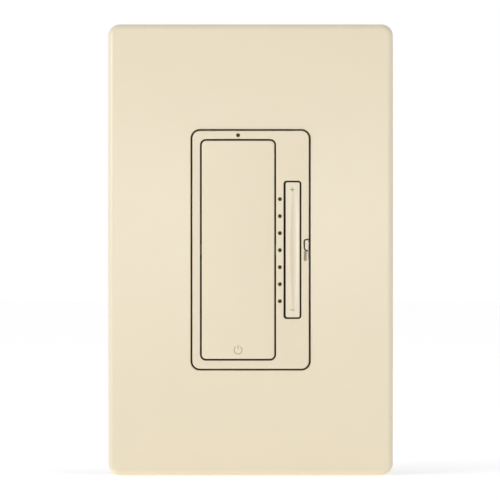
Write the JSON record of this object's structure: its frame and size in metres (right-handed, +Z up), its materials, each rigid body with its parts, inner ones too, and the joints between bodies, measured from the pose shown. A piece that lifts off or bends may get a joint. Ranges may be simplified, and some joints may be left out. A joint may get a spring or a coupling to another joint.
{
  "type": "paddle dimmer with wall plate",
  "caption": "Wall dimmer: wide on/off paddle, slim rocker bar with level lights, pull-out air-gap tab and a crowned screwless cover plate.",
  "frame": {"origin": "middle of the wall surface, on the line between the two box screws, where the strap's ears rest", "axes": "+X to the right as seen from the room, +Y into the wall, +Z up; the face of the dimmer looks along -Y"},
  "size_m": [0.0794, 0.0411, 0.1258],
  "materials": {
    "plate_plastic": "satin",
    "bezel_plastic": "satin",
    "control_plastic": "satin",
    "frame_nylon": "matte",
    "carrier_nylon": "matte",
    "housing_plastic": "matte",
    "smoke_lens": "gloss",
    "strap_aluminium": "satin",
    "zinc_steel": "satin",
    "green_steel": "satin",
    "black_steel": "satin",
    "nickel_steel": "polished",
    "terminal_brass": "satin",
    "spring_steel": "polished",
    "fibre": "matte",
    "circuit_board": "satin",
    "black_epoxy": "satin",
    "plunger_plastic": "satin",
    "lamp_package": "gloss",
    "tinned_metal": "satin",
    "ferrite": "matte",
    "enamelled_copper": "gloss",
    "film_case": "satin",
    "can_sleeve": "gloss",
    "disc_coating": "gloss",
    "fuse_ceramic": "satin",
    "pad_silicone": "matte"
  },
  "bodies": {
    "base": {"wall_plate": "plate_plastic", "mounting_frame": "frame_nylon", "plate_screws": "zinc_steel", "heat_sink_strap": "strap_aluminium", "box_screws": "zinc_steel", "screw_retainers": "fibre", "ground_screw": "green_steel", "front_bezel": "bezel_plastic", "paddle_pivot_pin": "spring_steel", "paddle_springs": "spring_steel", "bar_pivot_pin": "spring_steel", "bar_springs": "spring_steel", "pivot_carrier": "carrier_nylon", "level_light_pipe": "smoke_lens", "locator_light_pipe": "smoke_lens", "status_leds": "lamp_package", "air_gap_contacts": "terminal_brass", "control_board": "circuit_board", "tactile_switches": "black_epoxy", "paddle_switch_plungers": "plunger_plastic", "bar_switch_plungers": "plunger_plastic", "microcontroller": "black_epoxy", "chip_resistors": "black_epoxy", "header_body": "black_epoxy", "header_pins": "tinned_metal", "board_spacers": "carrier_nylon", "power_board": "circuit_board", "choke_core": "ferrite", "choke_winding": "enamelled_copper", "film_capacitor": "film_case", "supply_capacitor": "can_sleeve", "varistor": "disc_coating", "fuse_link": "fuse_ceramic", "transistor_tabs": "tinned_metal", "transistor_bodies": "black_epoxy", "thermal_pads": "pad_silicone", "transistor_screws": "zinc_steel", "rear_housing": "housing_plastic", "housing_screws": "zinc_steel", "terminal_lugs": "terminal_brass", "terminal_clamps": "zinc_steel", "line_terminal_screw": "black_steel", "load_terminal_screws": "terminal_brass", "neutral_terminal_screw": "nickel_steel"},
    "rocker": {"paddle": "control_plastic"},
    "bar": {"dimmer_bar": "control_plastic"},
    "slider": {"air_gap_slider": "control_plastic", "air_gap_bridge": "terminal_brass"}
  },
  "joints": [
    {"name": "paddle_rock", "type": "hinge", "parent": "base", "child": "rocker", "pos_m": [-0.0035, -0.0044, 0], "axis": [1, 0, 0], "range_deg": [-2.5, 2.5], "stiffness_Nm_per_rad": 1.5, "deforming": ["paddle_springs", "paddle_switch_plungers"]},
    {"name": "bar_rock", "type": "hinge", "parent": "base", "child": "bar", "pos_m": [0.01171, -0.0044, 0], "axis": [1, 0, 0], "range_deg": [-2.5, 2.5], "stiffness_Nm_per_rad": 0.8, "deforming": ["bar_springs", "bar_switch_plungers"]},
    {"name": "air_gap_pull", "type": "slide", "parent": "base", "child": "slider", "axis": [0, -1, 0], "range_m": [0, 0.003]}
  ]
}
